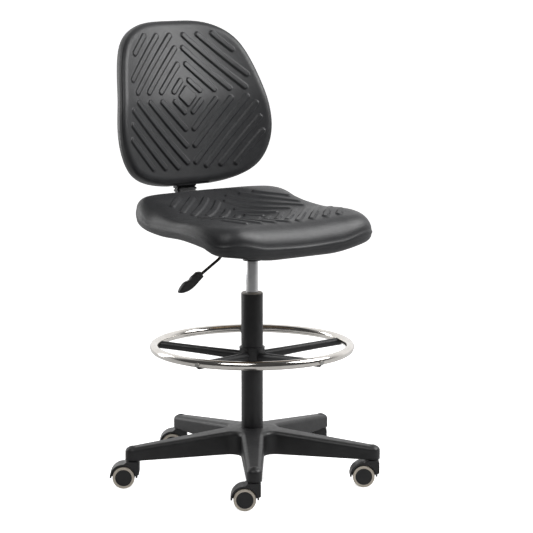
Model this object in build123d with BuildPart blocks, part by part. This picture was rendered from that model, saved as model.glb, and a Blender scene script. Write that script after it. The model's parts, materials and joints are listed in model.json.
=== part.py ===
from build123d import *
import os
from math import cos, hypot, radians, sin

# Drafting chair: a foam seat and back on a gas column, with a foot ring and a five-arm caster base.
# Frame: millimetres, +Z up, origin on the floor at the column's axis. The sitter faces -Y and has
# +X on the left hand. The height lever is on the -X side.

os.makedirs("parts", exist_ok=True)

# ---------------------------------------------------------------- driving dimensions
ARM_COUNT = 5
ARM_TURN = 90.0  # one arm points straight back
STEM_CIRCLE = 286.8  # radius of the circle that the caster stems stand on
BASE_TOP = 118.5
ARM_BOTTOM_TIP = 62.4
ARM_BOTTOM_HUB = 63.0
ARM_TOP_TIP = 93.0
ARM_HALF_HUB = 29.0
ARM_HALF_TIP = 17.0

WHEEL_RADIUS = 25.0
CASTER_TRAIL = 20.5
TRAIL_TURN = 143.15  # direction in which every caster trails at rest
HOOD_HALF = 22.0

COLUMN_DIAMETER = 50.0
COLUMN_TOP = 431.0
COLUMN_BOTTOM = 62.0
COLUMN_WALL = 1.8
TAPER_FOOT = 48.0  # column diameter at its lower end
GAS_DIAMETER = 28.0
GAS_BOTTOM = 165.0
GAS_TOP = 540.0
GAS_TAPER_TOP = 26.6
ROD_DIAMETER = 10.0

RING_RADIUS = 225.0
RING_TUBE = 20.0
RING_HEIGHT = 306.7
SPOKE_TURN = -13.85
HUB_BOTTOM = 257.0
HUB_TOP = 303.0

SEAT_HALF = 220.0
SEAT_FRONT = -196.0
SEAT_REAR = 204.0
PLATE_BOTTOM = 560.0  # mechanism plate
PLATE_TOP = 563.0
BOARD_TOP = 575.0

BAR_WIDTH = 40.0
BAR_THICK = 8.0
BAR_HEIGHT = 541.0  # centre line of the level part of the back bar
BAR_LEAN = 14.0
BACK_LEAN = 12.0
PIVOT = (277.7, 745.0)  # y and z of the backrest's tilt pin

FIT = 0.05  # radial clearance of a shaft in its hole
GAP = 0.3  # clearance between faces of pieces that move past each other


def turned(radius, angle, z=0.0):
    """Point at a radius and an angle in degrees round the column."""
    return (radius * cos(radians(angle)), radius * sin(radians(angle)), z)


def save(part, name):
    """Label a finished piece and write it as its own STEP file."""
    part.label = name
    export_step(part, f"parts/{name}.step")


# ---------------------------------------------------------------- five-arm base
ARM_WALL = 4.0
ARM_ROUND = 10.0
ARM_CROTCH = 26.0  # fillet between two arms, seen from above
STEM_RADIUS = 5.5
STEM_TOP = 84.0

ARM_SLOPE_START = 36.0  # distance out at which the arms' tops begin to fall
ARM_SLOPE_END = STEM_CIRCLE + 40
DOME_RADIUS = 16.5  # rounded end over each caster stem
DOME_TOP = 95.5

with BuildSketch() as arm_plan:
    Polygon(
        (0, -ARM_HALF_HUB),
        (STEM_CIRCLE, -ARM_HALF_TIP),
        (STEM_CIRCLE, ARM_HALF_TIP),
        (0, ARM_HALF_HUB),
        align=None,
    )
    with Locations((STEM_CIRCLE, 0)):
        Circle(ARM_HALF_TIP)

with BuildPart() as arm_core:
    with BuildSketch(Plane.YZ.offset(46)):
        with Locations((0, BASE_TOP / 2 - ARM_WALL)):
            Rectangle(2 * (ARM_HALF_HUB - ARM_WALL - 2), BASE_TOP - ARM_WALL)
    with BuildSketch(Plane.YZ.offset(STEM_CIRCLE - 15)):
        with Locations((0, ARM_TOP_TIP / 2 - ARM_WALL)):
            Rectangle(2 * (ARM_HALF_TIP - ARM_WALL), ARM_TOP_TIP - ARM_WALL)
    loft(ruled=True)
    with Locations(*[(x, 0, 50) for x in (90, 130, 170, 210, 246)]):
        Box(3, 60, 160, mode=Mode.SUBTRACT)

slope = (BASE_TOP - ARM_TOP_TIP) / (STEM_CIRCLE - ARM_SLOPE_START)
with BuildPart() as base_star:
    with BuildSketch(Plane.XY.offset(ARM_BOTTOM_HUB)) as star_plan:
        with PolarLocations(0, ARM_COUNT, start_angle=ARM_TURN):
            add(arm_plan.sketch)
        crotches = star_plan.vertices().filter_by(lambda corner: 30 < hypot(corner.X, corner.Y) < 65)
        fillet(crotches, radius=ARM_CROTCH)
    extrude(amount=BASE_TOP - ARM_BOTTOM_HUB)
    with BuildSketch(Plane.XZ):
        Polygon(
            (0, ARM_BOTTOM_HUB),
            (ARM_SLOPE_START, ARM_BOTTOM_HUB),
            (STEM_CIRCLE - 14, ARM_BOTTOM_TIP),
            (ARM_SLOPE_END, ARM_BOTTOM_TIP),
            (ARM_SLOPE_END, BASE_TOP - slope * (ARM_SLOPE_END - ARM_SLOPE_START)),
            (ARM_SLOPE_START, BASE_TOP),
            (0, BASE_TOP),
            align=None,
        )
    revolve(axis=Axis.Z, mode=Mode.INTERSECT)
    rims = base_star.edges().filter_by(
        lambda edge: edge.center().Z > ARM_TOP_TIP - 8
        and hypot(edge.center().X, edge.center().Y) > 50
        and abs(edge.tangent_at(0.5).Z) < 0.5
    )
    fillet(rims, radius=ARM_ROUND)
    with PolarLocations(STEM_CIRCLE, ARM_COUNT, start_angle=ARM_TURN):
        with Locations((0, 0, DOME_TOP - DOME_RADIUS)):
            Sphere(DOME_RADIUS)
    with PolarLocations(0, ARM_COUNT, start_angle=ARM_TURN):
        add(arm_core.part, mode=Mode.SUBTRACT)
    with BuildSketch(Plane.XY.offset(COLUMN_BOTTOM - 8)):
        Circle(TAPER_FOOT / 2 - 0.2)
    with BuildSketch(Plane.XY.offset(BASE_TOP)):
        Circle(COLUMN_DIAMETER / 2)
    loft(mode=Mode.SUBTRACT)
    with PolarLocations(STEM_CIRCLE, ARM_COUNT, start_angle=ARM_TURN):
        with Locations((0, 0, STEM_TOP / 2)):
            Cylinder(STEM_RADIUS, STEM_TOP, mode=Mode.SUBTRACT)
save(base_star.part, "base_star")

# ---------------------------------------------------------------- casters
NECK_BACK = 35.5  # neck's far face, measured from the wheel axle
NECK_LOW = 6.0  # underside of the neck, above the axle
HOOD_TOP = 36.0  # above the axle
HOOD_OUTER = 31.5
HOOD_INNER = 27.5
WEB_HALF = 5.0
PIN_RADIUS = 3.5  # lower end of the stem, inside the hood
PIN_BOTTOM = 32.0
COLLAR_LOW = WHEEL_RADIUS + HOOD_TOP + GAP
AXLE_RADIUS = 3.0
AXLE_HALF = 19.0
WHEEL_INNER = 5.5
WHEEL_OUTER = 21.5
DISC_RADIUS = 19.0

with BuildPart() as stems:
    with PolarLocations(STEM_CIRCLE, ARM_COUNT, start_angle=ARM_TURN):
        with Locations((0, 0, ARM_BOTTOM_TIP)):
            Cylinder(STEM_RADIUS, STEM_TOP - ARM_BOTTOM_TIP, align=(Align.CENTER, Align.CENTER, Align.MIN))
        with Locations((0, 0, COLLAR_LOW)):
            Cylinder(8, ARM_BOTTOM_TIP - COLLAR_LOW, align=(Align.CENTER, Align.CENTER, Align.MIN))
        with Locations((0, 0, PIN_BOTTOM)):
            Cylinder(PIN_RADIUS, COLLAR_LOW - PIN_BOTTOM, align=(Align.CENTER, Align.CENTER, Align.MIN))
save(stems.part, "caster_stems")

# One caster is drawn with its axle along Y at the origin and its stem at +X, then placed five times.
with BuildPart() as hood:
    with BuildSketch(Plane.XZ):
        Circle(HOOD_OUTER)
        with Locations((0, -HOOD_OUTER)):
            Rectangle(4 * HOOD_OUTER, 2 * HOOD_OUTER, mode=Mode.SUBTRACT)
        with BuildLine():
            Polyline(
                (NECK_LOW, NECK_LOW),
                (NECK_BACK, NECK_LOW),
                (NECK_BACK, HOOD_TOP),
                (NECK_LOW, HOOD_TOP),
                (0, HOOD_OUTER),
                close=True,
            )
        make_face()
        Circle(HOOD_INNER, mode=Mode.SUBTRACT)
        fillet(vertices().filter_by_position(Axis.X, NECK_BACK - 0.1, NECK_BACK + 0.1), radius=4)
    extrude(amount=HOOD_HALF, both=True)
    with BuildSketch(Plane.XZ):
        Circle(HOOD_INNER + 1)
        with Locations((0, -HOOD_OUTER)):
            Rectangle(4 * HOOD_OUTER, 2 * HOOD_OUTER, mode=Mode.SUBTRACT)
        Circle(9)
    extrude(amount=WEB_HALF, both=True)
    with Locations((CASTER_TRAIL, 0, 0)):
        Cylinder(PIN_RADIUS + FIT, 140, mode=Mode.SUBTRACT)
    with BuildSketch(Plane.XZ):
        Circle(AXLE_RADIUS)
    extrude(amount=HOOD_HALF, both=True, mode=Mode.SUBTRACT)
    with BuildSketch(Plane.XY.offset(PIN_BOTTOM - WHEEL_RADIUS - GAP)):
        with Locations((CASTER_TRAIL, 0)):
            Circle(PIN_RADIUS + FIT)
    extrude(amount=-(PIN_BOTTOM - WHEEL_RADIUS - GAP) + 1)

with BuildPart() as axle:
    with BuildSketch(Plane.XZ):
        Circle(AXLE_RADIUS)
    extrude(amount=AXLE_HALF, both=True)

with BuildPart() as disc:
    with BuildSketch(Plane.XZ.offset(-WHEEL_INNER)):
        Circle(DISC_RADIUS)
    extrude(amount=WHEEL_INNER - WHEEL_OUTER)
    fillet(disc.edges().group_by(Axis.Y)[-1], radius=1.2)
    with BuildSketch(Plane.XZ.offset(-WHEEL_INNER)):
        Circle(DISC_RADIUS - 2.5)
        Circle(7, mode=Mode.SUBTRACT)
    extrude(amount=-9, mode=Mode.SUBTRACT)
    with BuildSketch(Plane.XZ.offset(-WHEEL_INNER)):
        Circle(AXLE_RADIUS + FIT)
    extrude(amount=WHEEL_INNER - AXLE_HALF - GAP, mode=Mode.SUBTRACT)

with BuildPart() as tyre:
    with BuildSketch(Plane.XZ.offset(-WHEEL_INNER)):
        Circle(WHEEL_RADIUS)
        Circle(DISC_RADIUS, mode=Mode.SUBTRACT)
    extrude(amount=WHEEL_INNER - WHEEL_OUTER)
    fillet(tyre.edges().filter_by(GeomType.CIRCLE).sort_by(SortBy.RADIUS)[-2:], radius=2)

trail = Vector(cos(radians(TRAIL_TURN)), sin(radians(TRAIL_TURN)), 0)
for arm_index in range(ARM_COUNT):
    stem = Vector(*turned(STEM_CIRCLE, ARM_TURN + 360 / ARM_COUNT * arm_index))
    hub = stem + trail * CASTER_TRAIL + Vector(0, 0, WHEEL_RADIUS)
    place = Location(hub, (0, 0, TRAIL_TURN + 180))
    flip = Location((0, 0, 0), (0, 0, 180))
    number = arm_index + 1
    save(place * hood.part, f"caster_{number}_hood")
    save(place * axle.part, f"caster_{number}_axle")
    save(place * disc.part, f"caster_{number}_wheel_a")
    save(place * tyre.part, f"caster_{number}_tyre_a")
    save(place * flip * disc.part, f"caster_{number}_wheel_b")
    save(place * flip * tyre.part, f"caster_{number}_tyre_b")

# ---------------------------------------------------------------- column
TUBE_BORE = COLUMN_DIAMETER / 2 - COLUMN_WALL
FLOOR_LOW, FLOOR_HIGH = 74.0, 78.0  # plate across the lower end of the tube
with BuildPart() as column_tube:
    with BuildSketch(Plane.XY.offset(COLUMN_BOTTOM - 8)):
        Circle(TAPER_FOOT / 2 - 0.2)
    with BuildSketch(Plane.XY.offset(BASE_TOP)):
        Circle(COLUMN_DIAMETER / 2)
    loft()
    with BuildSketch(Plane.XY.offset(BASE_TOP)):
        Circle(COLUMN_DIAMETER / 2)
    extrude(amount=COLUMN_TOP - BASE_TOP)
    with BuildSketch(Plane.XY.offset(FLOOR_HIGH)):
        Circle(TAPER_FOOT / 2 - COLUMN_WALL)
    extrude(amount=BASE_TOP - FLOOR_HIGH, mode=Mode.SUBTRACT)
    with BuildSketch(Plane.XY.offset(BASE_TOP)):
        Circle(TUBE_BORE)
    extrude(amount=COLUMN_TOP - BASE_TOP, mode=Mode.SUBTRACT)
    with BuildSketch(Plane.XY.offset(COLUMN_BOTTOM - 8)):
        Circle(TAPER_FOOT / 2 - COLUMN_WALL - 1)
    extrude(amount=FLOOR_LOW - COLUMN_BOTTOM + 8, mode=Mode.SUBTRACT)
    with BuildSketch(Plane.XY.offset(FLOOR_LOW)):
        Circle(ROD_DIAMETER / 2 + FIT)
    extrude(amount=FLOOR_HIGH - FLOOR_LOW, mode=Mode.SUBTRACT)
save(column_tube.part, "column_tube")

BUSHING_BOTTOM = 340.0
BUSHING_LIP = 2.5
with BuildPart() as column_bushing:
    with BuildSketch(Plane.XY.offset(BUSHING_BOTTOM)):
        Circle(TUBE_BORE)
    extrude(amount=COLUMN_TOP - BUSHING_BOTTOM)
    with BuildSketch(Plane.XY.offset(COLUMN_TOP)):
        Circle(COLUMN_DIAMETER / 2 - 0.6)
    extrude(amount=BUSHING_LIP)
    chamfer(column_bushing.edges().group_by(Axis.Z)[-1], length=1.5)
    with BuildSketch(Plane.XY.offset(BUSHING_BOTTOM)):
        Circle(GAS_DIAMETER / 2 + FIT)
    extrude(amount=COLUMN_TOP + BUSHING_LIP - BUSHING_BOTTOM, mode=Mode.SUBTRACT)
save(column_bushing.part, "column_bushing")

BEARING_TOP = 86.0
BUFFER_TOP = 96.0
with BuildPart() as column_bearing:
    with BuildSketch(Plane.XY.offset(FLOOR_HIGH)):
        Circle(16)
        Circle(ROD_DIAMETER / 2 + FIT, mode=Mode.SUBTRACT)
    extrude(amount=BEARING_TOP - FLOOR_HIGH)
save(column_bearing.part, "column_bearing")

with BuildPart() as column_buffer:
    with BuildSketch(Plane.XY.offset(BEARING_TOP)):
        Circle(13)
        Circle(ROD_DIAMETER / 2 + FIT, mode=Mode.SUBTRACT)
    extrude(amount=BUFFER_TOP - BEARING_TOP)
save(column_buffer.part, "column_buffer")

PISTON_LOW, PISTON_HIGH = 366.0, 378.0
CHAMBER_RADIUS = 12.0
GROOVE_LOW, GROOVE_HIGH = 69.0, 71.0
with BuildPart() as piston_rod:
    with BuildSketch(Plane.XY.offset(66)):
        Circle(ROD_DIAMETER / 2)
    extrude(amount=PISTON_HIGH - 66)
    with BuildSketch(Plane.XY.offset(PISTON_LOW)):
        Circle(CHAMBER_RADIUS - FIT)
    extrude(amount=PISTON_HIGH - PISTON_LOW)
    with BuildSketch(Plane.XY.offset(GROOVE_LOW)):
        Circle(ROD_DIAMETER / 2)
        Circle(ROD_DIAMETER / 2 - 1, mode=Mode.SUBTRACT)
    extrude(amount=GROOVE_HIGH - GROOVE_LOW, mode=Mode.SUBTRACT)
save(piston_rod.part, "piston_rod")

with BuildPart() as retaining_clip:
    with BuildSketch(Plane.XY.offset(GROOVE_LOW)):
        Circle(9)
        Circle(ROD_DIAMETER / 2 - 1, mode=Mode.SUBTRACT)
        with Locations((8, 0)):
            Rectangle(10, 5, mode=Mode.SUBTRACT)
    extrude(amount=GROOVE_HIGH - GROOVE_LOW)
save(retaining_clip.part, "retaining_clip")

GAS_CONE = 500.0  # where the top taper starts
BUTTON_RADIUS = 4.0
BUTTON_LOW = 500.0
BUTTON_TOP = 545.4
BUTTON_TRAVEL = 4.0
CHAMBER_TOP = BUTTON_LOW - BUTTON_TRAVEL - 1
with BuildPart() as gas_cylinder:
    with BuildSketch(Plane.XY.offset(GAS_BOTTOM)):
        Circle(GAS_DIAMETER / 2)
    extrude(amount=GAS_CONE - GAS_BOTTOM)
    with BuildSketch(Plane.XY.offset(GAS_CONE)):
        Circle(GAS_DIAMETER / 2)
    with BuildSketch(Plane.XY.offset(GAS_TOP)):
        Circle(GAS_TAPER_TOP / 2)
    loft()
    with BuildSketch(Plane.XY.offset(GAS_BOTTOM + 8)):
        Circle(CHAMBER_RADIUS)
    extrude(amount=CHAMBER_TOP - GAS_BOTTOM - 8, mode=Mode.SUBTRACT)
    with BuildSketch(Plane.XY.offset(GAS_BOTTOM)):
        Circle(ROD_DIAMETER / 2 + FIT)
    extrude(amount=8, mode=Mode.SUBTRACT)
    with BuildSketch(Plane.XY.offset(CHAMBER_TOP)):
        Circle(BUTTON_RADIUS + FIT)
    extrude(amount=GAS_TOP - CHAMBER_TOP, mode=Mode.SUBTRACT)
save(gas_cylinder.part, "gas_cylinder")

with BuildPart() as release_button:
    with BuildSketch(Plane.XY.offset(BUTTON_LOW)):
        Circle(BUTTON_RADIUS)
    extrude(amount=BUTTON_TOP - BUTTON_LOW)
save(release_button.part, "release_button")

# ---------------------------------------------------------------- foot ring
SPOKE_HUB_Z = 284.0
SPOKE_END_Z = RING_HEIGHT - 4.5
BOLT_Z = RING_HEIGHT - 2.5
BOLT_RADIUS = 3.0
BOLT_REACH = 206.0
COLLET_WALL = 1.5
COLLET_RADIUS = COLUMN_DIAMETER / 2 + FIT + COLLET_WALL
with BuildPart() as foot_ring:
    with Locations((0, 0, RING_HEIGHT)):
        Torus(RING_RADIUS, RING_TUBE / 2)
        Torus(RING_RADIUS, RING_TUBE / 2 - 1.5, mode=Mode.SUBTRACT)
    with PolarLocations(RING_RADIUS, ARM_COUNT, start_angle=SPOKE_TURN):
        with Locations((0, 0, BOLT_Z)):
            Cylinder(BOLT_RADIUS, 3 * RING_TUBE, rotation=(0, 90, 0), mode=Mode.SUBTRACT)
save(foot_ring.part, "foot_ring")

with BuildPart() as spoke:
    for out, across, tall, height in (
        (20, 20, 24, SPOKE_HUB_Z),
        (150, 15, 18, SPOKE_HUB_Z + (SPOKE_END_Z - SPOKE_HUB_Z) * 0.65),
        (RING_RADIUS + 3, 18, 18, SPOKE_END_Z),
    ):
        with BuildSketch(Plane.YZ.offset(out)):
            with Locations((0, height)):
                Ellipse(across / 2, tall / 2)
    loft()

with BuildPart() as footring_spider:
    with BuildSketch(Plane.XY.offset(HUB_BOTTOM)):
        Circle(33)
    extrude(amount=4)
    with BuildSketch(Plane.XY.offset(HUB_BOTTOM + 4)):
        Circle(32)
    with BuildSketch(Plane.XY.offset(HUB_BOTTOM + 14)):
        Circle(29)
    with BuildSketch(Plane.XY.offset(HUB_TOP)):
        Circle(29)
    loft(ruled=True)
    with PolarLocations(0, ARM_COUNT, start_angle=SPOKE_TURN):
        add(spoke.part)
    with BuildSketch(Plane.XY.offset(HUB_BOTTOM)):
        Circle(COLLET_RADIUS + FIT)
    extrude(amount=HUB_TOP - HUB_BOTTOM, mode=Mode.SUBTRACT)
    with Locations((0, 0, RING_HEIGHT)):
        Torus(RING_RADIUS, RING_TUBE / 2, mode=Mode.SUBTRACT)
    with PolarLocations(RING_RADIUS, ARM_COUNT, start_angle=SPOKE_TURN):
        with Locations((0, 0, BOLT_Z)):
            Cylinder(BOLT_RADIUS, 2 * (RING_RADIUS - BOLT_REACH), rotation=(0, 90, 0), mode=Mode.SUBTRACT)
save(footring_spider.part, "footring_spider")

HEAD_RADIUS = 5.0
with BuildPart() as footring_bolts:
    with PolarLocations(BOLT_REACH, ARM_COUNT, start_angle=SPOKE_TURN):
        with Locations((0, 0, BOLT_Z)):
            Cylinder(
                BOLT_RADIUS,
                RING_RADIUS + RING_TUBE / 2 - BOLT_REACH,
                rotation=(0, 90, 0),
                align=(Align.CENTER, Align.CENTER, Align.MIN),
            )
    with PolarLocations(RING_RADIUS + RING_TUBE / 2, ARM_COUNT, start_angle=SPOKE_TURN):
        with Locations((0, 0, BOLT_Z)):
            Cylinder(HEAD_RADIUS, 3, rotation=(0, 90, 0), align=(Align.CENTER, Align.CENTER, Align.MIN))
save(footring_bolts.part, "footring_bolts")

with BuildPart() as footring_collet:
    with BuildSketch(Plane.XY.offset(HUB_BOTTOM)):
        Circle(COLLET_RADIUS)
    extrude(amount=HUB_TOP + GAP - HUB_BOTTOM)
    with BuildSketch(Plane.XY.offset(HUB_TOP + GAP)):
        Circle(29.5)
    extrude(amount=3.2)
    with BuildSketch(Plane.XY.offset(HUB_BOTTOM)):
        Circle(COLUMN_DIAMETER / 2 + FIT)
    extrude(amount=HUB_TOP + GAP + 3.2 - HUB_BOTTOM, mode=Mode.SUBTRACT)
    with Locations((0, 0, HUB_BOTTOM)):
        Box(80, 2, 60, mode=Mode.SUBTRACT)
save(footring_collet.part, "footring_collet")

# ---------------------------------------------------------------- seat mechanism
BOX_X, BOX_Y = 40.0, 20.0  # half sizes of the housing round the valve lever
BOX_WALL = 2.5
BOX_BOTTOM = 532.0
BOSS_BOTTOM = 507.0
LEVER_PIVOT = (-30.0, 549.0)
LEVER_PIN = 2.5
BOLT_SPOTS = (65.0, 62.0)
CHANNEL_FRONT, CHANNEL_REAR = 44.0, 150.0
DEPTH_KNOB_Y = 120.0
STUD_RADIUS = 4.0
with BuildPart() as seat_mechanism:
    with BuildSketch(Plane.XY.offset(PLATE_BOTTOM)):
        RectangleRounded(170, 160, 20)
    extrude(amount=PLATE_TOP - PLATE_BOTTOM)
    with BuildSketch(Plane.XY.offset(BOX_BOTTOM)):
        Rectangle(2 * BOX_X, 2 * BOX_Y)
    extrude(amount=PLATE_BOTTOM - BOX_BOTTOM)
    with BuildSketch(Plane.XY.offset(BOX_BOTTOM + 4)):
        Rectangle(2 * (BOX_X - BOX_WALL), 2 * (BOX_Y - BOX_WALL))
    extrude(amount=PLATE_BOTTOM - BOX_BOTTOM - 4, mode=Mode.SUBTRACT)
    with BuildSketch(Plane.XY.offset(BOSS_BOTTOM)):
        Circle(21)
    extrude(amount=GAS_TOP - BOSS_BOTTOM)
    with BuildSketch(Plane.XY.offset(GAS_CONE)):
        Circle(GAS_DIAMETER / 2)
    with BuildSketch(Plane.XY.offset(GAS_TOP)):
        Circle(GAS_TAPER_TOP / 2)
    loft(mode=Mode.SUBTRACT)
    with Locations((-BOX_X, 0, LEVER_PIVOT[1])):
        Box(12, 13, 18, mode=Mode.SUBTRACT)
    with BuildSketch(Plane.XZ):
        with Locations(LEVER_PIVOT):
            Circle(LEVER_PIN)
    extrude(amount=BOX_Y + 5, both=True, mode=Mode.SUBTRACT)
    with BuildSketch(Plane.XZ.offset(-CHANNEL_FRONT)):
        with Locations((0, BAR_HEIGHT + 3)):
            Rectangle(BAR_WIDTH + 8, PLATE_BOTTOM - BAR_HEIGHT + 13)
        with Locations((0, BAR_HEIGHT)):
            Rectangle(BAR_WIDTH + 2 * FIT, BAR_THICK + 2 * FIT, mode=Mode.SUBTRACT)
    extrude(amount=CHANNEL_FRONT - CHANNEL_REAR)
    with Locations((0, DEPTH_KNOB_Y, BAR_HEIGHT - 12)):
        Cylinder(STUD_RADIUS + FIT, 24, mode=Mode.SUBTRACT)
    with GridLocations(2 * BOLT_SPOTS[0], 2 * BOLT_SPOTS[1], 2, 2):
        with Locations((0, 0, PLATE_TOP)):
            Cylinder(4, 20, mode=Mode.SUBTRACT)
save(seat_mechanism.part, "seat_mechanism")

with BuildPart() as lever_pin:
    with BuildSketch(Plane.XZ):
        with Locations(LEVER_PIVOT):
            Circle(LEVER_PIN)
    extrude(amount=BOX_Y + 1.5, both=True)
save(lever_pin.part, "lever_pin")

LEVER_ROD = 6.6
lever_route = [(6, 549), (-62, 549), (-94, 518), (-158, 479.5)]
with BuildPart() as lever_rod:
    with BuildLine(Plane.XZ) as lever_path:
        FilletPolyline(*lever_route, radius=12)
    with BuildSketch(Plane.YZ.offset(lever_route[0][0])):
        with Locations((0, lever_route[0][1])):
            Circle(LEVER_ROD / 2)
    sweep(path=lever_path.line)
    with BuildSketch(Plane.XZ):
        with Locations(LEVER_PIVOT):
            Circle(6)
    extrude(amount=6, both=True)
    with BuildSketch(Plane.XZ):
        with Locations(LEVER_PIVOT):
            Circle(LEVER_PIN + FIT)
    extrude(amount=8, both=True, mode=Mode.SUBTRACT)

handle_start = Vector(-142, 0, 489)
handle_end = Vector(-202, 0, 450)
handle_way = (handle_end - handle_start).normalized()
handle_plane = Plane(origin=handle_start, x_dir=handle_way, z_dir=(0, -1, 0))
with BuildPart() as lever_grip:
    with BuildSketch(handle_plane):
        with BuildLine():
            upper = Line((0, 7), (30, 10))
            tip = TangentArc(upper @ 1, (70, -1), tangent=upper % 1)
            lower = Spline(tip @ 1, (52, -13), (34, -9.5), tangents=(tip % 1, (-1, 0.3)))
            Polyline(lower @ 1, (27, -12), (8, -12), (0, -7), (0, 7))
        make_face()
    extrude(amount=5, both=True)
    fillet(lever_grip.edges().filter_by(lambda edge: abs(edge.tangent_at(0.5).Y) < 0.1), radius=2)
    add(lever_rod.part, mode=Mode.SUBTRACT)
save(lever_rod.part, "lever_rod")
save(lever_grip.part, "lever_grip")

# ---------------------------------------------------------------- seat
BOARD_X, BOARD_Y = 300.0, 260.0
with BuildPart() as seat_board:
    with BuildSketch(Plane.XY.offset(PLATE_TOP)):
        with Locations((0, 10)):
            RectangleRounded(BOARD_X, BOARD_Y, 40)
    extrude(amount=BOARD_TOP - PLATE_TOP)
    with GridLocations(2 * BOLT_SPOTS[0], 2 * BOLT_SPOTS[1], 2, 2):
        with Locations((0, 0, PLATE_TOP)):
            Cylinder(4, 20, mode=Mode.SUBTRACT)
save(seat_board.part, "seat_board")

with BuildPart() as seat_bolts:
    with GridLocations(2 * BOLT_SPOTS[0], 2 * BOLT_SPOTS[1], 2, 2):
        with Locations((0, 0, PLATE_BOTTOM)):
            Cylinder(4, 13, align=(Align.CENTER, Align.CENTER, Align.MIN))
        with Locations((0, 0, PLATE_BOTTOM)):
            Cylinder(6.5, 5, align=(Align.CENTER, Align.CENTER, Align.MAX))
save(seat_bolts.part, "seat_bolts")

# y and z of the pad's middle section, along the underside and back over the top
seat_under = [(-204, 556), (-178, 538), (-140, 534), (-100, 548)]
seat_under += [(-84, PLATE_TOP), (120, PLATE_TOP), (180, 584), (210, 612)]
seat_over = [(210, 636), (194, 652), (150, 645), (90, 625)]
seat_over += [(20, 612), (-100, 624), (-168, 622), (-204, 600)]
with BuildPart() as seat_foam:
    with BuildSketch(Plane.XY.offset(500)):
        with BuildLine():
            Polyline(
                (-SEAT_HALF, SEAT_FRONT),
                (SEAT_HALF, SEAT_FRONT),
                (SEAT_HALF, SEAT_REAR),
                (-SEAT_HALF, SEAT_REAR),
                close=True,
            )
        make_face()
        fillet(vertices().group_by(Axis.Y)[0], radius=70)
        fillet(vertices().group_by(Axis.Y)[-1], radius=80)
    extrude(amount=200)
    with BuildSketch(Plane.YZ):
        with BuildLine():
            Polyline(*seat_under, *seat_over, close=True)
        make_face()
    extrude(amount=SEAT_HALF + 20, both=True, mode=Mode.INTERSECT)
    add(seat_board.part, mode=Mode.SUBTRACT)
    with GridLocations(2 * BOLT_SPOTS[0], 2 * BOLT_SPOTS[1], 2, 2):
        with Locations((0, 0, PLATE_TOP)):
            Cylinder(4, 2 * (BOARD_TOP - PLATE_TOP), mode=Mode.SUBTRACT)
save(seat_foam.part, "seat_foam")

# ---------------------------------------------------------------- back bar
BAR_FRONT = 50.0
BAR_BEND = 45.0
BAR_TOP = 835.0
BELLOWS_MIDDLE = (265.0, 650.0)  # y and z of a point on the leaning part's centre line
lean = Vector(0, sin(radians(BAR_LEAN)), cos(radians(BAR_LEAN)))
on_bar = Vector(0, *BELLOWS_MIDDLE)


def bar_point(height):
    """Point of the leaning part's centre line at a height."""
    return on_bar + lean * ((height - on_bar.Z) / lean.Z)


def bar_plane(height):
    """Plane square to the leaning part of the bar."""
    return Plane(origin=bar_point(height), x_dir=(1, 0, 0), z_dir=lean)


with BuildPart() as back_bar:
    with BuildLine() as bar_path:
        corner = bar_point(BAR_HEIGHT)
        top = bar_point(BAR_TOP)
        FilletPolyline((0, BAR_FRONT, BAR_HEIGHT), tuple(corner), tuple(top), radius=BAR_BEND)
    with BuildSketch(Plane.XZ.offset(-BAR_FRONT)):
        with Locations((0, BAR_HEIGHT)):
            Rectangle(BAR_WIDTH, BAR_THICK)
    sweep(path=bar_path.line)
save(back_bar.part, "back_bar")

BELLOWS_LOW, BELLOWS_HIGH = 592.0, 674.0
RIB_PITCH = 8.0
with BuildPart() as bar_bellows:
    with BuildSketch(bar_plane(BELLOWS_LOW)):
        RectangleRounded(51, 18, 4)
    extrude(amount=(BELLOWS_HIGH - BELLOWS_LOW) / lean.Z)
    for rib in range(int((BELLOWS_HIGH - BELLOWS_LOW) / RIB_PITCH)):
        with BuildSketch(bar_plane(BELLOWS_LOW + 2 + rib * RIB_PITCH)):
            RectangleRounded(56, 22, 5)
        extrude(amount=4.5)
    with BuildSketch(bar_plane(BELLOWS_LOW - 10)):
        Rectangle(BAR_WIDTH, BAR_THICK)
    extrude(amount=120, mode=Mode.SUBTRACT)
save(bar_bellows.part, "bar_bellows")


def knob(origin, out, stud_length, name):
    """Lobed clamp knob with its threaded stud pointing back along -out."""
    plane = Plane(origin=origin, x_dir=(1, 0, 0), z_dir=out)
    with BuildPart() as lobed:
        with BuildSketch(plane):
            Circle(17)
            with PolarLocations(17, 6):
                Circle(4.5)
        extrude(amount=16)
        rims = lobed.edges().filter_by(lambda edge: abs(edge.tangent_at(0.5).dot(plane.z_dir)) < 0.1)
        fillet(rims, radius=1.5)
        with BuildSketch(plane):
            Circle(STUD_RADIUS)
        extrude(amount=-stud_length)
    save(lobed.part, name)


knob((0, DEPTH_KNOB_Y, BAR_HEIGHT - BAR_THICK / 2 - 7 - 5), (0, 0, -1), 11.5, "depth_knob")

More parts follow.
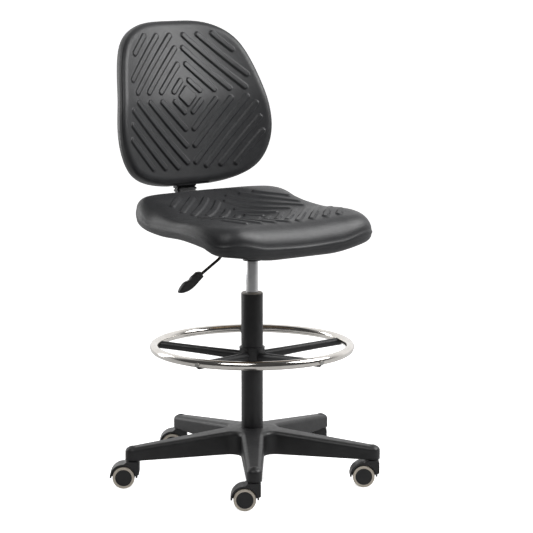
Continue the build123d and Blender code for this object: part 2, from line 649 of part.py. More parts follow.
# ---------------------------------------------------------------- back carrier
CARRIER_X = 25.0
CARRIER_TALL = 70.0
TILT_PIN = 4.0
pivot = Vector(0, *PIVOT)
bar_here = bar_point(PIVOT[1])
across = Vector(0, cos(radians(BAR_LEAN)), -sin(radians(BAR_LEAN)))  # square to the bar, pointing back
carrier_plane = Plane(origin=bar_here - lean * CARRIER_TALL / 2, x_dir=(1, 0, 0), z_dir=lean)
with BuildPart() as back_carrier:
    with BuildSketch(carrier_plane):
        with Locations((0, 0.5)):
            RectangleRounded(2 * CARRIER_X, 37, 5)
        Rectangle(BAR_WIDTH + 2 * FIT, BAR_THICK + 2 * FIT, mode=Mode.SUBTRACT)
    extrude(amount=CARRIER_TALL)
    with BuildSketch(Plane.YZ):
        with Locations(PIVOT):
            Circle(TILT_PIN + FIT)
    extrude(amount=CARRIER_X + 5, both=True, mode=Mode.SUBTRACT)
    with BuildSketch(Plane(origin=bar_here, x_dir=(1, 0, 0), z_dir=across)):
        Circle(STUD_RADIUS + FIT)
    extrude(amount=40, mode=Mode.SUBTRACT)
save(back_carrier.part, "back_carrier")
knob(bar_here + across * 24, across, 24 - BAR_THICK / 2 - 0.5, "height_knob")

# ---------------------------------------------------------------- backrest
PLATE_THICK = 3.0
EAR_INNER, EAR_OUTER = 26.0, 29.0
FRONT_MIDDLE = (251.5, 857.0)  # y and z of the pad's front at the middle of its pattern
CURVE_UP = 950.0  # radius of the front seen from the side
CURVE_ACROSS = 480.0  # radius of the front seen from above
PAD_HALF = 215.0
PAD_THICK, PAD_EDGE = 44.0, 38.0
lean_sin, lean_cos = sin(radians(BACK_LEAN)), cos(radians(BACK_LEAN))
plate_face = Plane(
    origin=(0, PIVOT[0] - 15.2, PIVOT[1]), x_dir=(-1, 0, 0), z_dir=(0, lean_cos, -lean_sin)
)
SCREW_SPOTS = [(x, v) for x in (-37, 37) for v in (20, 120)]

with BuildPart() as back_plate:
    with BuildSketch(plate_face):
        with Locations((0, 55)):
            RectangleRounded(90, 200, 10)
        with Locations(*SCREW_SPOTS):
            Circle(3, mode=Mode.SUBTRACT)
    extrude(amount=PLATE_THICK)
    foot = PIVOT[0] - 15.2 + PLATE_THICK - 0.5
    for side in (-1, 1):
        with BuildSketch(Plane.YZ.offset(side * EAR_INNER)):
            with BuildLine():
                Polyline(
                    (foot - 3, PIVOT[1] - 12),
                    (PIVOT[0], PIVOT[1] - 9),
                    (PIVOT[0], PIVOT[1] + 9),
                    (foot + 2, PIVOT[1] + 12),
                    close=True,
                )
            make_face()
            with Locations(PIVOT):
                Circle(9)
                Circle(TILT_PIN, mode=Mode.SUBTRACT)
        extrude(amount=side * (EAR_OUTER - EAR_INNER))
save(back_plate.part, "back_plate")

with BuildPart() as tilt_pin:
    with BuildSketch(Plane.YZ):
        with Locations(PIVOT):
            Circle(TILT_PIN)
    extrude(amount=EAR_OUTER + 1.5, both=True)
save(tilt_pin.part, "tilt_pin")

with BuildPart() as back_screws:
    with BuildSketch(plate_face.offset(-10)):
        with Locations(*SCREW_SPOTS):
            Circle(3)
    extrude(amount=10 + PLATE_THICK)
    with BuildSketch(plate_face.offset(PLATE_THICK)):
        with Locations(*SCREW_SPOTS):
            Circle(5.5)
    extrude(amount=3)

curl = Vector(0, FRONT_MIDDLE[0] + CURVE_UP * lean_cos, FRONT_MIDDLE[1] - CURVE_UP * lean_sin)
SWEEP_START, SWEEP = -4.0, 32.0
start_way = Vector(0, -cos(radians(SWEEP_START)), sin(radians(SWEEP_START)))
rise = PAD_HALF**2 / (2 * CURVE_ACROSS)
# across and up the leaning front, from the bottom's middle to the top's
pad_half_outline = [(0, -199), (112, -192), (175, -166), (209, -95), (203, 10)]
pad_half_outline += [(184, 85), (153, 144), (93, 182), (0, 191)]
pad_other_half = [(-u, v) for u, v in reversed(pad_half_outline[1:-1])]
with BuildPart() as backrest_foam:
    with BuildSketch(Plane(origin=curl, x_dir=(1, 0, 0), z_dir=Vector(1, 0, 0).cross(start_way))):
        with BuildLine():
            front = ThreePointArc((-PAD_HALF, CURVE_UP + rise), (0, CURVE_UP), (PAD_HALF, CURVE_UP + rise))
            back = ThreePointArc(
                (-PAD_HALF, CURVE_UP + rise - PAD_EDGE),
                (0, CURVE_UP - PAD_THICK),
                (PAD_HALF, CURVE_UP + rise - PAD_EDGE),
            )
            Line(front @ 0, back @ 0)
            Line(front @ 1, back @ 1)
        make_face()
    revolve(axis=Axis(curl, (-1, 0, 0)), revolution_arc=SWEEP)
    with BuildSketch(Plane(origin=(0, *FRONT_MIDDLE), x_dir=(1, 0, 0), z_dir=(0, -lean_cos, lean_sin))):
        with BuildLine():
            Spline(*pad_half_outline, *pad_other_half, periodic=True)
        make_face()
    extrude(amount=150, both=True, mode=Mode.INTERSECT)
    with BuildSketch(plate_face):
        with Locations((0, 20)):
            Rectangle(100, 290)
    extrude(amount=80, mode=Mode.SUBTRACT)
    with BuildSketch(plate_face):
        with Locations(*SCREW_SPOTS):
            Circle(3)
    extrude(amount=-10, mode=Mode.SUBTRACT)
save(backrest_foam.part, "backrest_foam")
save(back_screws.part, "back_screws")
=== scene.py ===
import json
from math import cos, pi, radians, sin

import bpy
import numpy as np
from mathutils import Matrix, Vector


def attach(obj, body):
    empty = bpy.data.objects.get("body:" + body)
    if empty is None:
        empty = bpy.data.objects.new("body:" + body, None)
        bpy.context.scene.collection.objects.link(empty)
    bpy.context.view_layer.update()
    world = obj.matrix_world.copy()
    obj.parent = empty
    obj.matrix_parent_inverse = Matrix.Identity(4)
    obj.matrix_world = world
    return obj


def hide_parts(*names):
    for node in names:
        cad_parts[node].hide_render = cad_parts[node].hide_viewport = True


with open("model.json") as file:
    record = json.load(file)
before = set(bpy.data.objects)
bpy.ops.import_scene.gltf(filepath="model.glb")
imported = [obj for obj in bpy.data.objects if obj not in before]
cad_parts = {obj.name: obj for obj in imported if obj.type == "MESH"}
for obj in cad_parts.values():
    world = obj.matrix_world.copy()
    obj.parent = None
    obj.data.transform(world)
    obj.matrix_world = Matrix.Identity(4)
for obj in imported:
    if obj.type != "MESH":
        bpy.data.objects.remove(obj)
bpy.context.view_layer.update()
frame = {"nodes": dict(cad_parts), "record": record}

# Drafting chair. Metres, +Z up, origin on the floor at the column's axis. The sitter faces -Y.
nodes = frame["nodes"]

# ---------------------------------------------------------------- shader helpers
NOISE_LOW, NOISE_HIGH = 0.3, 0.7  # nearly all noise values lie between these


def new_material(name):
    """Material with a Principled shader, its node tree and its coordinates in metres."""
    material = bpy.data.materials.new(name)
    material.use_nodes = True
    tree = material.node_tree
    shader = tree.nodes["Principled BSDF"]
    place = tree.nodes.new("ShaderNodeTexCoord").outputs["Object"]
    return material, tree, shader, place


def noise(tree, place, scale, detail=3.0, stretch=None):
    """Noise value at a scale in cells per metre, times stretch along each axis if given."""
    if stretch:
        mapping = tree.nodes.new("ShaderNodeMapping")
        mapping.inputs["Scale"].default_value = stretch
        tree.links.new(place, mapping.inputs["Vector"])
        place = mapping.outputs["Vector"]
    texture = tree.nodes.new("ShaderNodeTexNoise")
    texture.inputs["Scale"].default_value = scale
    texture.inputs["Detail"].default_value = detail
    tree.links.new(place, texture.inputs["Vector"])
    return texture.outputs["Fac"]


def cells(tree, place, scale):
    """Distance to the nearest cell's point, for leather-like pebbles."""
    texture = tree.nodes.new("ShaderNodeTexVoronoi")
    texture.feature = "F1"
    texture.inputs["Scale"].default_value = scale
    tree.links.new(place, texture.inputs["Vector"])
    return texture.outputs["Distance"]


def map_range(tree, value, source, target):
    """Map Range node that takes a value from the source range to the target range."""
    node = tree.nodes.new("ShaderNodeMapRange")
    node.inputs["From Min"].default_value, node.inputs["From Max"].default_value = source
    node.inputs["To Min"].default_value, node.inputs["To Max"].default_value = target
    tree.links.new(value, node.inputs["Value"])
    return node


def spread(tree, value, low, high):
    """Rescales a noise value to low..high."""
    return map_range(tree, value, (NOISE_LOW, NOISE_HIGH), (low, high)).outputs["Result"]


def tint(tree, value, dark, light):
    """Colour between dark and light."""
    node = tree.nodes.new("ShaderNodeValToRGB")
    node.color_ramp.elements[0].position = NOISE_LOW
    node.color_ramp.elements[1].position = NOISE_HIGH
    node.color_ramp.elements[0].color = (*dark, 1)
    node.color_ramp.elements[1].color = (*light, 1)
    tree.links.new(value, node.inputs["Fac"])
    return node.outputs["Color"]


def emboss(tree, shader, height, depth, strength=1.0, under=None):
    """Bump of a depth in metres, on top of another bump if one is given."""
    bump = tree.nodes.new("ShaderNodeBump")
    bump.inputs["Distance"].default_value = depth
    bump.inputs["Strength"].default_value = strength
    tree.links.new(height, bump.inputs["Height"])
    if under:
        tree.links.new(under, bump.inputs["Normal"])
    tree.links.new(bump.outputs["Normal"], shader.inputs["Normal"])
    return bump.outputs["Normal"]


def look(tree, shader, colour, rough):
    """Links a colour and a roughness to the shader."""
    tree.links.new(colour, shader.inputs["Base Color"])
    tree.links.new(rough, shader.inputs["Roughness"])


# ---------------------------------------------------------------- materials


def foam_skin():
    """Self-skinned polyurethane foam: black, softly glossy, with a fine pebbled skin."""
    material, tree, shader, place = new_material("foam_skin")
    mottle = noise(tree, place, scale=35)
    wear = noise(tree, place, scale=220, detail=4)
    colour = tint(tree, mottle, dark=(0.015, 0.0155, 0.017), light=(0.022, 0.0225, 0.0245))
    look(tree, shader, colour, spread(tree, wear, low=0.40, high=0.50))
    pebble = emboss(tree, shader, cells(tree, place, scale=900), depth=0.00018, strength=0.5)
    fine = noise(tree, place, scale=2600, detail=2)
    emboss(tree, shader, fine, depth=0.00006, strength=0.5, under=pebble)
    return material


def moulded_plastic(name, dark, light, rough):
    """Injection-moulded plastic with a spark-eroded grain."""
    material, tree, shader, place = new_material(name)
    colour = tint(tree, noise(tree, place, scale=25), dark, light)
    wear = noise(tree, place, scale=90, detail=4)
    look(tree, shader, colour, spread(tree, wear, low=rough - 0.04, high=rough + 0.05))
    grain = noise(tree, place, scale=1800, detail=2)
    emboss(tree, shader, grain, depth=0.00008, strength=0.5)
    return material


def powder_coat(name):
    """Black powder coat with faint orange peel."""
    material, tree, shader, place = new_material(name)
    mottle = noise(tree, place, scale=30)
    colour = tint(tree, mottle, dark=(0.010, 0.010, 0.011), light=(0.016, 0.016, 0.017))
    wear = noise(tree, place, scale=150, detail=3)
    look(tree, shader, colour, spread(tree, wear, low=0.36, high=0.46))
    peel = noise(tree, place, scale=700, detail=2)
    emboss(tree, shader, peel, depth=0.00006, strength=0.6)
    return material


def chrome(name, dark, light):
    """Bright plating over a tube, with faint polishing marks drawn out along z."""
    material, tree, shader, place = new_material(name)
    shader.inputs["Metallic"].default_value = 1.0
    colour = tint(tree, noise(tree, place, scale=40), dark, light)
    haze = noise(tree, place, scale=400, detail=5, stretch=(1, 1, 0.08))
    look(tree, shader, colour, spread(tree, haze, low=0.06, high=0.14))
    marks = noise(tree, place, scale=900, detail=2, stretch=(1, 1, 0.05))
    emboss(tree, shader, marks, depth=0.00001, strength=0.4)
    return material


def plain_steel(name):
    """Zinc-plated steel of pins, bolts and rods."""
    material, tree, shader, place = new_material(name)
    shader.inputs["Metallic"].default_value = 1.0
    spangle = noise(tree, place, scale=120)
    colour = tint(tree, spangle, dark=(0.42, 0.41, 0.39), light=(0.56, 0.55, 0.53))
    wear = noise(tree, place, scale=600, detail=4)
    look(tree, shader, colour, spread(tree, wear, low=0.28, high=0.42))
    return material


def soft_rubber(name, dark, light, rough):
    """Matt rubber or soft polyurethane with a dusty bloom."""
    material, tree, shader, place = new_material(name)
    colour = tint(tree, noise(tree, place, scale=60, detail=4), dark, light)
    bloom = noise(tree, place, scale=300, detail=3)
    look(tree, shader, colour, spread(tree, bloom, low=rough - 0.06, high=rough + 0.06))
    grain = noise(tree, place, scale=1500, detail=2)
    emboss(tree, shader, grain, depth=0.00006, strength=0.5)
    return material


def birch_board(name):
    """Pressed birch board with a long grain."""
    material, tree, shader, place = new_material(name)
    grain = noise(tree, place, scale=60, detail=6, stretch=(1, 14, 14))
    colour = tint(tree, grain, dark=(0.36, 0.24, 0.13), light=(0.58, 0.43, 0.27))
    look(tree, shader, colour, spread(tree, grain, low=0.55, high=0.72))
    emboss(tree, shader, grain, depth=0.0002, strength=0.4)
    return material


BLACK, DARK = (0.013, 0.013, 0.014), (0.020, 0.020, 0.021)
finishes = {
    "black_plastic": moulded_plastic("base_plastic", BLACK, DARK, 0.42),
    "hood_plastic": moulded_plastic("hood_plastic", BLACK, DARK, 0.36),
    "wheel_plastic": moulded_plastic("wheel_plastic", BLACK, DARK, 0.45),
    "spider_plastic": moulded_plastic("spider_plastic", BLACK, DARK, 0.40),
    "bushing_plastic": moulded_plastic(
        "bushing_plastic", (0.40, 0.38, 0.35), (0.50, 0.48, 0.45), 0.45
    ),
    "tyre_beige": soft_rubber("tyre_beige", (0.56, 0.50, 0.42), (0.68, 0.62, 0.53), 0.55),
    "bellows_rubber": soft_rubber("bellows_rubber", BLACK, DARK, 0.5),
    "buffer_rubber": soft_rubber("buffer_rubber", BLACK, DARK, 0.7),
    "column_black": powder_coat("column_coat"),
    "mechanism_black": powder_coat("mechanism_coat"),
    "bar_black": powder_coat("bar_coat"),
    "gas_chrome": chrome("gas_chrome", (0.62, 0.62, 0.63), (0.74, 0.74, 0.74)),
    "ring_chrome": chrome("ring_chrome", (0.70, 0.67, 0.63), (0.80, 0.77, 0.73)),
    "steel": plain_steel("plated_steel"),
    "seat_wood": birch_board("birch_board"),
}
slot_of = {part["node"]: part["material_slot"] for part in frame["record"]["subparts"]}
for name, node in nodes.items():
    if slot_of[name] in finishes:
        node.data.materials.clear()
        node.data.materials.append(finishes[slot_of[name]])

# ---------------------------------------------------------------- padded shells
SIDES, ROWS = 720, 140  # points round a pad, and rings from its middle to its rim
RIM_RINGS, WALL_RINGS = 13, 8
FINE_PER_POINT = 20  # fine points of the curve for each point kept


def smooth_loop(corners, count):
    """Smooth closed curve through given points.

    Returns evenly spaced points and their outward directions.
    """
    points = np.array(corners, float)
    total = len(points)
    ahead = np.roll(points, -1, 0) - points
    length = np.linalg.norm(ahead, axis=1)
    slope = ahead / length[:, None]
    solve, known = np.zeros((total, total)), np.zeros((total, 2))
    for i in range(total):
        before = (i - 1) % total
        solve[i, before] += 1 / length[before]
        solve[i, i] += 2 / length[before] + 2 / length[i]
        solve[i, (i + 1) % total] += 1 / length[i]
        known[i] = 3 * (slope[before] / length[before] + slope[i] / length[i])
    tangent = np.linalg.solve(solve, known)
    start = np.r_[0, np.cumsum(length)]
    fine = np.linspace(0, start[-1], FINE_PER_POINT * count, endpoint=False)
    span = np.searchsorted(start, fine, side="right") - 1
    t = ((fine - start[span]) / length[span])[:, None]
    after, reach = (span + 1) % total, length[span][:, None]
    curve = (
        (2 * t**3 - 3 * t**2 + 1) * points[span]
        + (t**3 - 2 * t**2 + t) * tangent[span] * reach
        + (3 * t**2 - 2 * t**3) * points[after]
        + (t**3 - t**2) * tangent[after] * reach
    )
    step = np.linalg.norm(np.roll(curve, -1, 0) - curve, axis=1)
    along = np.r_[0, np.cumsum(step)]
    pick = np.searchsorted(along, np.linspace(0, along[-1], count, endpoint=False))
    loop = curve[pick]
    way = np.roll(loop, -1, 0) - np.roll(loop, 1, 0)
    way /= np.linalg.norm(way, axis=1)[:, None]
    return loop, np.c_[way[:, 1], -way[:, 0]]


def mirrored(half):
    """Closed outline from its +u half, listed from the bottom's middle to the top's middle."""
    return half + [(-u, v) for u, v in half[-2:0:-1]]


def smooth_step(x):
    """Smooth rise from 0 to 1 as x goes from 0 to 1."""
    x = np.clip(x, 0, 1)
    return x * x * (3 - 2 * x)


RIDGE_FIRST, RIDGE_PITCH = 0.049, 0.039  # |u| + |v| of a ridge's middle line
RIDGE_GAP = 0.012  # from a ridge's end to the middle line of the pattern
RIDGE_HALF, RIDGE_EDGE, RIDGE_HEIGHT = 0.0062, 0.0030, 0.0034
RIDGE_COUNT = 7  # nested diamonds, before reach cuts them
RIDGE_SAMPLES, FEWEST_SAMPLES, SHORTEST_RIDGE = 400, 20, 0.02
DIAMOND_HALF, DIAMOND_CORNER = 0.019, 0.006
DIAGONALS = np.array([[1, 1], [1, -1]])


def ridge_lines(reach):
    """Ends of the ridges: diagonal bars in nested diamonds, cut off where reach(u, v) is false."""
    lines = []
    for side in (-1, 1):
        for way in (-1, 1):
            for step in range(RIDGE_COUNT):
                total = RIDGE_FIRST + RIDGE_PITCH * step
                u = np.linspace(RIDGE_GAP, total - RIDGE_GAP, RIDGE_SAMPLES)
                v = way * (total - u)
                inside = u[reach(side * u, v)]
                if len(inside) > FEWEST_SAMPLES and inside[-1] - inside[0] > SHORTEST_RIDGE:
                    ends = [(side * k, way * (total - k)) for k in (inside[0], inside[-1])]
                    lines.append(np.array(ends))
    return lines


def ridge_height(plan, lines):
    """Height of the raised ridges over points of the plan."""
    nearest = np.full(len(plan), 1.0)
    for first, last in lines:
        way = last - first
        along = np.clip((plan - first) @ way / (way @ way), 0, 1)
        nearest = np.minimum(nearest, np.linalg.norm(plan - first - along[:, None] * way, axis=1))
    bars = smooth_step((RIDGE_HALF - nearest) / RIDGE_EDGE + 0.5)
    turned = np.abs(plan @ DIAGONALS.T) / 2**0.5
    inner = np.maximum(turned - DIAMOND_HALF + DIAMOND_CORNER, 0)
    diamond = np.linalg.norm(inner, axis=1) - DIAMOND_CORNER
    return RIDGE_HEIGHT * np.maximum(bars, smooth_step(-diamond / RIDGE_EDGE + 0.5))


def shell(name, outline, top, bottom, top_rim, bottom_rim, to_frame, bulge):
    """Closed pad: top and bottom height fields over an outline, with rounded rims between them.

    top_rim and bottom_rim give (inset, drop) of the rounding for each outline point, and bulge
    is how far the middle of the wall stands out.
    """
    loop, out = smooth_loop(outline, SIDES)
    quarter = np.radians(np.linspace(0, 90, RIM_RINGS))

    def rim(surface, inset, drop, sign):
        """Rings from the full inset out to the outline."""
        made = []
        for angle in quarter:
            plan = loop - out * (inset * (1 - sin(angle)))[:, None]
            made.append((plan, surface(plan) - sign * drop * (1 - cos(angle))))
        return made

    def field(surface, inset, many):
        """Rings from near the middle out to the full inset."""
        edge = loop - out * inset[:, None]
        return [(edge * k, surface(edge * k)) for k in np.linspace(0, 1, many + 1)[1:-1]]

    over = field(top, top_rim[0], ROWS) + rim(top, *top_rim, 1)
    under = field(bottom, bottom_rim[0], ROWS // 2) + rim(bottom, *bottom_rim, -1)
    high, low = over[-1], under[-1]
    wall = []
    for k in np.linspace(0, 1, WALL_RINGS)[1:-1]:
        plan = loop + out * bulge * sin(pi * k)
        wall.append((plan, high[1] * (1 - k) + low[1] * k))
    rings = over + wall + under[::-1]
    points = np.concatenate([np.c_[plan, height] for plan, height in rings])
    middle = np.zeros((1, 2))
    points = np.vstack([points, np.r_[middle[0], top(middle)], np.r_[middle[0], bottom(middle)]])
    top_middle, bottom_middle = len(points) - 2, len(points) - 1
    around = np.arange(SIDES)
    after = (around + 1) % SIDES
    faces = []
    for ring in range(len(rings) - 1):
        here, there = ring * SIDES, (ring + 1) * SIDES
        faces.extend(np.c_[here + around, there + around, there + after, here + after].tolist())
    last = (len(rings) - 1) * SIDES
    faces.extend(np.c_[np.full(SIDES, top_middle), around, after].tolist())
    faces.extend(np.c_[np.full(SIDES, bottom_middle), last + after, last + around].tolist())
    mesh = bpy.data.meshes.new(name)
    mesh.from_pydata(to_frame(points).tolist(), [], faces)
    mesh.shade_smooth()
    piece = bpy.data.objects.new(name, mesh)
    bpy.context.scene.collection.objects.link(piece)
    return piece


foam = foam_skin()

# ---------------------------------------------------------------- backrest pad
# u runs across the pad, v up its leaning plane and the height forward from it.
BACK_LEAN = radians(12)
BACK_MIDDLE = np.array([0, 0.2515, 0.857])
ACROSS_RADIUS = 0.48
BEND_ABOVE, BEND_BELOW, BEND_SOFT = 0.109, 0.124, 0.025
PATTERN_UP = 0.0085  # middle of the ridges above the middle of the pad
PATTERN_LOW, PATTERN_HIGH, PATTERN_HALF = -0.164, 0.146, 0.170
BACK_THICK, BACK_CROWN, CROWN_HALF = 0.038, 0.006, 0.2
POCKET_HALF, POCKET_TOP, POCKET_FLOOR = 0.050, 0.056, -0.0350
POCKET_SLOPE = 0.006
back_outline = mirrored(
    [(0, -0.197), (0.112, -0.190), (0.177, -0.163), (0.212, -0.095), (0.204, 0.010),
     (0.185, 0.085), (0.155, 0.145), (0.095, 0.183), (0, 0.192)]
)


def back_front(plan):
    """Front of the backrest: hollow across, bent back above and below its middle."""
    u, v = plan[:, 0], plan[:, 1]
    steep = np.where(v > 0, BEND_ABOVE, BEND_BELOW)
    bend = steep * (np.sqrt(v * v + BEND_SOFT * BEND_SOFT) - BEND_SOFT)
    return u * u / (2 * ACROSS_RADIUS) - bend


def back_reach(u, v):
    """Where the backrest has ridges: narrower towards the top."""
    side = PATTERN_HALF - 0.16 * v - 0.25 * np.maximum(v - 0.05, 0)
    return (np.abs(u) < side) & (v < PATTERN_HIGH) & (v > PATTERN_LOW)


back_lines = ridge_lines(back_reach)


def back_face(plan):
    """Front of the backrest with its ridges."""
    return back_front(plan) + ridge_height(plan - [0, PATTERN_UP], back_lines)


def back_rear(plan):
    """Rear of the backrest: thicker in the middle, with a pocket for the bracket."""
    thick = BACK_THICK + BACK_CROWN * np.clip(1 - (plan[:, 0] / CROWN_HALF) ** 2, 0, 1)
    rear = back_front(plan) - thick
    side = smooth_step((POCKET_HALF + POCKET_SLOPE - np.abs(plan[:, 0])) / POCKET_SLOPE)
    above = smooth_step((POCKET_TOP + POCKET_SLOPE - plan[:, 1]) / POCKET_SLOPE)
    return rear + side * above * np.maximum(POCKET_FLOOR - rear, 0)


def back_to_frame(points):
    """From across, up and forward of the leaning plane to the object's frame."""
    up = np.array([0, sin(BACK_LEAN), cos(BACK_LEAN)])
    forward = np.array([0, -cos(BACK_LEAN), sin(BACK_LEAN)])
    across = np.array([1, 0, 0])
    return BACK_MIDDLE + points[:, :1] * across + points[:, 1:2] * up + points[:, 2:] * forward


even = np.ones(SIDES)
front_rim = (0.018 * even, 0.013 * even)
rear_rim = (0.014 * even, 0.012 * even)
backrest = shell(
    "backrest_pad", back_outline, back_face, back_rear, front_rim, rear_rim, back_to_frame,
    bulge=0.001,
)
backrest.data.materials.append(foam)
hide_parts("backrest_foam")
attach(backrest, "backrest")

# ---------------------------------------------------------------- seat pad
SEAT_CREST = 0.165  # distance of the side crests from the middle
ROLL_WIDTH, ROLL_REACH = 0.05, 1.2  # fall of the top beyond the crests
BOARD_LEVEL = 0.5636  # flat underside round the seat board
LIP_LOW, LIP_RISE = 0.5365, 0.016  # bottom of the front lip, and its rise to the corners
seat_outline = mirrored(
    [(0, -0.200), (0.080, -0.200), (0.155, -0.198), (0.207, -0.177), (0.223, -0.115),
     (0.2215, -0.020), (0.220, 0.090), (0.205, 0.165), (0.155, 0.200), (0.075, 0.2055),
     (0, 0.206)]
)


def along_seat(y, table):
    """Smooth value along the seat's depth from a few given (y, value) pairs."""
    at, value = np.array(table).T
    slope = np.gradient(value, at)
    span = np.clip(np.searchsorted(at, y, side="right") - 1, 0, len(at) - 2)
    width = at[span + 1] - at[span]
    t = np.clip((y - at[span]) / width, 0, 1)
    return (
        (2 * t**3 - 3 * t**2 + 1) * value[span]
        + (t**3 - 2 * t**2 + t) * slope[span] * width
        + (3 * t**2 - 2 * t**3) * value[span + 1]
        + (t**3 - t**2) * slope[span + 1] * width
    )


# Along the depth: heights of the top's middle and of its side crests, the fall beyond the
# crests, and the height of the underside's side rims.
MIDDLE_LINE = [(-0.20, 0.606), (-0.15, 0.614), (-0.10, 0.611), (-0.03, 0.603), (0.03, 0.604)]
MIDDLE_LINE += [(0.08, 0.615), (0.13, 0.635), (0.17, 0.649), (0.21, 0.652)]
CREST_LINE = [(-0.20, 0.612), (-0.15, 0.620), (-0.11, 0.625), (-0.06, 0.622), (-0.01, 0.619)]
CREST_LINE += [(0.04, 0.626), (0.09, 0.638), (0.14, 0.647), (0.21, 0.651)]
ROLL_LINE = [(-0.20, 0.010), (-0.12, 0.010), (-0.03, 0.003), (0.04, 0.010), (0.09, 0.020)]
ROLL_LINE += [(0.15, 0.009), (0.21, 0.003)]
UNDER_LINE = [(-0.20, 0.556), (-0.15, 0.560), (-0.10, 0.568), (-0.03, 0.574), (0.06, 0.574)]
UNDER_LINE += [(0.11, 0.579), (0.16, 0.590), (0.21, 0.604)]


def seat_top(plan):
    """Top of the seat: a hollow between side crests, raised at the rear."""
    x, y = np.abs(plan[:, 0]), plan[:, 1]
    middle, crest = along_seat(y, MIDDLE_LINE), along_seat(y, CREST_LINE)
    inside = middle + (crest - middle) * smooth_step(x / SEAT_CREST)
    beyond = np.clip((x - SEAT_CREST) / ROLL_WIDTH, 0, ROLL_REACH)
    return inside - along_seat(y, ROLL_LINE) * beyond**2


def seat_reach(u, v):
    """Where the seat has ridges."""
    return (np.abs(u) < 0.165) & (v < 0.135) & (v > -0.152)


seat_lines = ridge_lines(seat_reach)


def seat_face(plan):
    """Top of the seat with its ridges."""
    return seat_top(plan) + ridge_height(plan, seat_lines)


def seat_under(plan):
    """Underside: flat round the board, higher at the side and rear rims, with a front lip."""
    x, y = np.abs(plan[:, 0]), plan[:, 1]
    side = smooth_step((x - 0.150) / 0.055)
    rear = smooth_step((y - 0.125) / 0.06)
    edge = along_seat(y, UNDER_LINE)
    level = BOARD_LEVEL + (edge - BOARD_LEVEL) * np.maximum(side, rear)
    lip = smooth_step((-0.112 - y) / 0.050)
    low = LIP_LOW + LIP_RISE * smooth_step((x - 0.07) / 0.15)
    return level + (low - level) * lip


# The rims' rounding goes by where each outline point lies: large in front, small at the corners.
loop, _ = smooth_loop(seat_outline, SIDES)
front = smooth_step((-0.11 - loop[:, 1]) / 0.07)
rear = smooth_step((loop[:, 1] - 0.10) / 0.08)
corner = front * smooth_step((np.abs(loop[:, 0]) - 0.10) / 0.08)
top_inset = 0.014 + 0.030 * front + 0.010 * rear - 0.014 * corner
top_drop = 0.013 + 0.028 * front + 0.007 * rear - 0.012 * corner
top_rim = (top_inset, top_drop)
bottom_rim = (0.012 + 0.008 * front, 0.010 + 0.008 * front)
seat = shell(
    "seat_pad", seat_outline, seat_face, seat_under, top_rim, bottom_rim, lambda points: points,
    bulge=0.002,
)
seat.data.materials.append(foam)
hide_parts("seat_foam")
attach(seat, "seat")

# ---------------------------------------------------------------- floor, light and camera
VIEW_TURN = radians(-37.23)
away = Vector((-sin(VIEW_TURN), cos(VIEW_TURN), 0))
right = Vector((cos(VIEW_TURN), sin(VIEW_TURN), 0))
up = Vector((0, 0, 1))
AIM = Vector((0, 0, 0.6))
CAMERA_PLACE, CAMERA_DIP = (-2.9986, -4.0010, 1.2958), 9.13  # the dip is in degrees
CAMERA_LENS, CAMERA_SENSOR = 149.67, 36
FLOOR_SIZE, FLOOR_DROP = 120, 0.0002
FLOOR_GLOW_SEEN, FLOOR_GLOW_BEHIND = 0.80, 0.55
WHITE_STRENGTH = 1.25  # white with the Background node's own colour, which is 0.8


def depth_away(tree, place):
    """How far a point or a direction lies on the far side of the chair."""
    node = tree.nodes.new("ShaderNodeVectorMath")
    node.operation = "DOT_PRODUCT"
    node.inputs[1].default_value = away
    tree.links.new(place, node.inputs[0])
    return node.outputs["Value"]


def make_floor():
    """White studio floor that looks plain to the camera.

    Its bounce light grows from none in front of the chair to some behind it.
    """
    bpy.ops.mesh.primitive_plane_add(size=FLOOR_SIZE, location=(0, 0, -FLOOR_DROP))
    floor = bpy.context.object
    floor.name = "studio_floor"
    material, tree, shader, place = new_material("floor_white")
    shader.inputs["Roughness"].default_value = 0.9
    shader.inputs["Emission Color"].default_value = (1, 1, 1, 1)
    bounce = map_range(tree, depth_away(tree, place), (-2.0, 2.5), (0.0, FLOOR_GLOW_BEHIND))
    ray = tree.nodes.new("ShaderNodeLightPath")
    glow = map_range(tree, ray.outputs["Is Camera Ray"], (0, 1), (0, FLOOR_GLOW_SEEN))
    tree.links.new(bounce.outputs["Result"], glow.inputs["To Min"])
    tree.links.new(glow.outputs["Result"], shader.inputs["Emission Strength"])
    tone = tree.nodes.new("ShaderNodeMix")
    tone.data_type = "RGBA"
    tone.inputs["A"].default_value = (0.3, 0.3, 0.3, 1)
    tone.inputs["B"].default_value = (0.8, 0.8, 0.8, 1)
    tree.links.new(ray.outputs["Is Camera Ray"], tone.inputs["Factor"])
    tree.links.new(tone.outputs["Result"], shader.inputs["Base Color"])
    floor.data.materials.append(material)


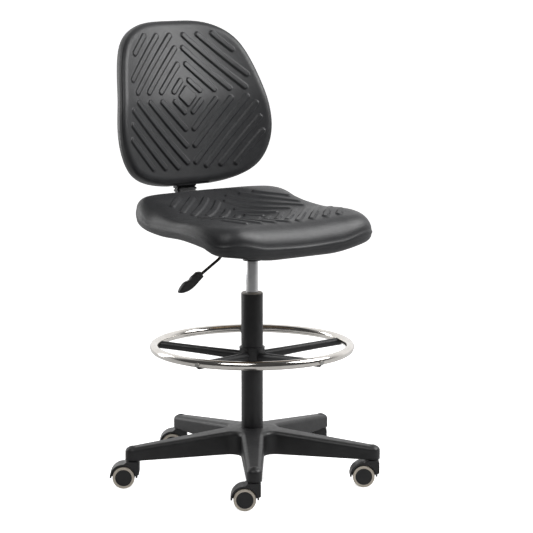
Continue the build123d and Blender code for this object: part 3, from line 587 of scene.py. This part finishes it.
def make_world():
    """White behind the chair and dimmer on the camera's side. The camera itself sees white."""
    world = bpy.data.worlds.new("studio")
    bpy.context.scene.world = world
    world.use_nodes = True
    tree = world.node_tree
    tree.nodes.clear()
    place = tree.nodes.new("ShaderNodeTexCoord").outputs["Generated"]
    ramp = map_range(tree, depth_away(tree, place), (-0.10, 0.70), (0.08, 1.25))
    ramp.interpolation_type = "SMOOTHSTEP"
    room = tree.nodes.new("ShaderNodeBackground")
    tree.links.new(ramp.outputs["Result"], room.inputs["Strength"])
    seen = tree.nodes.new("ShaderNodeBackground")
    seen.inputs["Strength"].default_value = WHITE_STRENGTH
    ray = tree.nodes.new("ShaderNodeLightPath")
    mix = tree.nodes.new("ShaderNodeMixShader")
    tree.links.new(ray.outputs["Is Camera Ray"], mix.inputs["Fac"])
    tree.links.new(room.outputs["Background"], mix.inputs[1])
    tree.links.new(seen.outputs["Background"], mix.inputs[2])
    output = tree.nodes.new("ShaderNodeOutputWorld")
    tree.links.new(mix.outputs["Shader"], output.inputs["Surface"])


def softbox(name, place, width, height, power):
    """Rectangular area light aimed at the middle of the chair."""
    light = bpy.data.lights.new(name, "AREA")
    light.shape = "RECTANGLE"
    light.size, light.size_y = width, height
    light.energy = power
    lamp = bpy.data.objects.new(name, light)
    lamp.location = place
    lamp.rotation_euler = (AIM - place).to_track_quat("-Z", "Y").to_euler()
    bpy.context.scene.collection.objects.link(lamp)


def make_camera():
    """Camera fitted to the chair's standard sizes."""
    data = bpy.data.cameras.new("camera")
    data.lens, data.sensor_width = CAMERA_LENS, CAMERA_SENSOR
    data.clip_end = 300
    camera = bpy.data.objects.new("camera", data)
    camera.location = CAMERA_PLACE
    camera.rotation_euler = (radians(90 - CAMERA_DIP), 0, VIEW_TURN)
    bpy.context.scene.collection.objects.link(camera)
    bpy.context.scene.camera = camera


make_floor()
make_world()
softbox("right_box", right * 1.9 - away * 0.2 + up * 2.1, width=1.5, height=1.5, power=64)
softbox("left_box", -right * 1.9 + away * 0.9 + up * 0.9, width=0.5, height=1.6, power=12)
softbox("top_box", up * 2.6 - away * 1.8 - right * 0.7, width=1.4, height=1.4, power=26)
make_camera()
bpy.context.scene.view_settings.view_transform = "Standard"
